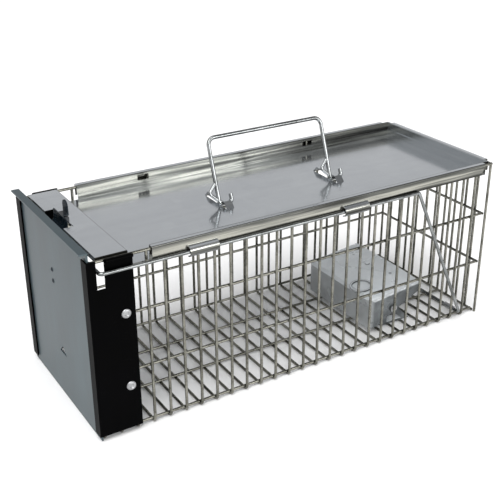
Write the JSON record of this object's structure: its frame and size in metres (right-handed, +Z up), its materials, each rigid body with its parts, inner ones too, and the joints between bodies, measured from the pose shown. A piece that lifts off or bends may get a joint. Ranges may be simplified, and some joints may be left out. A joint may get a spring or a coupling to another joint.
{
  "type": "live catch trap",
  "caption": "Wire cage live catch trap with a drop door, a sheet roof with a folding wire handle, and a treadle that draws a sliding trip rod.",
  "frame": {"origin": "on the surface the trap stands on, under the centre of its overall box", "axes": "+X from the door end to the rear panel, +Y across the cage, +Z up"},
  "size_m": [0.4032, 0.161, 0.2002],
  "materials": {
    "zinc_wire": "zinc plated wire, satin",
    "bright_wire": "bright zinc plated rod",
    "galvanised_sheet": "galvanised sheet, semi-gloss",
    "treadle_sheet": "galvanised sheet, dull",
    "black_paint": "black stove enamel, semi-gloss",
    "door_sheet": "dark grey coated sheet, satin",
    "dark_steel": "dark blued steel, semi-gloss",
    "rivet_metal": "plain rivet metal"
  },
  "bodies": {
    "cage": {"floor_mesh": "zinc_wire", "side_mesh_near": "zinc_wire", "side_mesh_back": "zinc_wire", "rear_mesh": "zinc_wire", "roof_panel": "galvanised_sheet", "door_channel_near": "black_paint", "door_channel_back": "black_paint", "channel_rivets_near": "rivet_metal", "channel_rivets_back": "rivet_metal", "rivet_washers": "rivet_metal", "pawl_pin": "bright_wire", "pawl_spring": "bright_wire", "treadle_axle": "bright_wire", "axle_caps": "rivet_metal", "treadle_stand_near": "treadle_sheet", "treadle_stand_back": "treadle_sheet"},
    "door": {"door_panel": "door_sheet", "door_catch": "door_sheet"},
    "pawl": {"door_pawl": "dark_steel"},
    "trip_bail": {"trip_rod": "bright_wire", "trip_crossbar": "bright_wire", "trip_tongue": "treadle_sheet", "rod_crimp": "rivet_metal"},
    "treadle": {"treadle_hood": "treadle_sheet"},
    "handle": {"carry_handle": "bright_wire"}
  },
  "joints": [
    {"name": "door_slide", "type": "slide", "parent": "cage", "child": "door", "axis": [0, 0, 1], "range_m": [0, 0.135]},
    {"name": "pawl_pivot", "type": "hinge", "parent": "cage", "child": "pawl", "pos_m": [-0.1796, 0.0155, 0.1532], "axis": [0, -1, 0], "range_deg": [0, 22], "stiffness_Nm_per_rad": 0.01, "springref_deg": -11.46},
    {"name": "treadle_tilt", "type": "hinge", "parent": "cage", "child": "treadle", "pos_m": [0.1072, -0.006, 0.023], "axis": [0, 1, 0], "range_deg": [0, 24]},
    {"name": "trip_slide", "type": "slide", "parent": "cage", "child": "trip_bail", "axis": [1, 0, 0], "range_m": [0, 0.0027]},
    {"name": "handle_swing", "type": "hinge", "parent": "cage", "child": "handle", "pos_m": [0.0072, -0.009, 0.1458], "axis": [1, 0, 0], "range_deg": [0, 95]}
  ],
  "couplings": [
    {"joint": "trip_slide", "follows": "treadle_tilt", "m_per_rad": 0.0062}
  ]
}
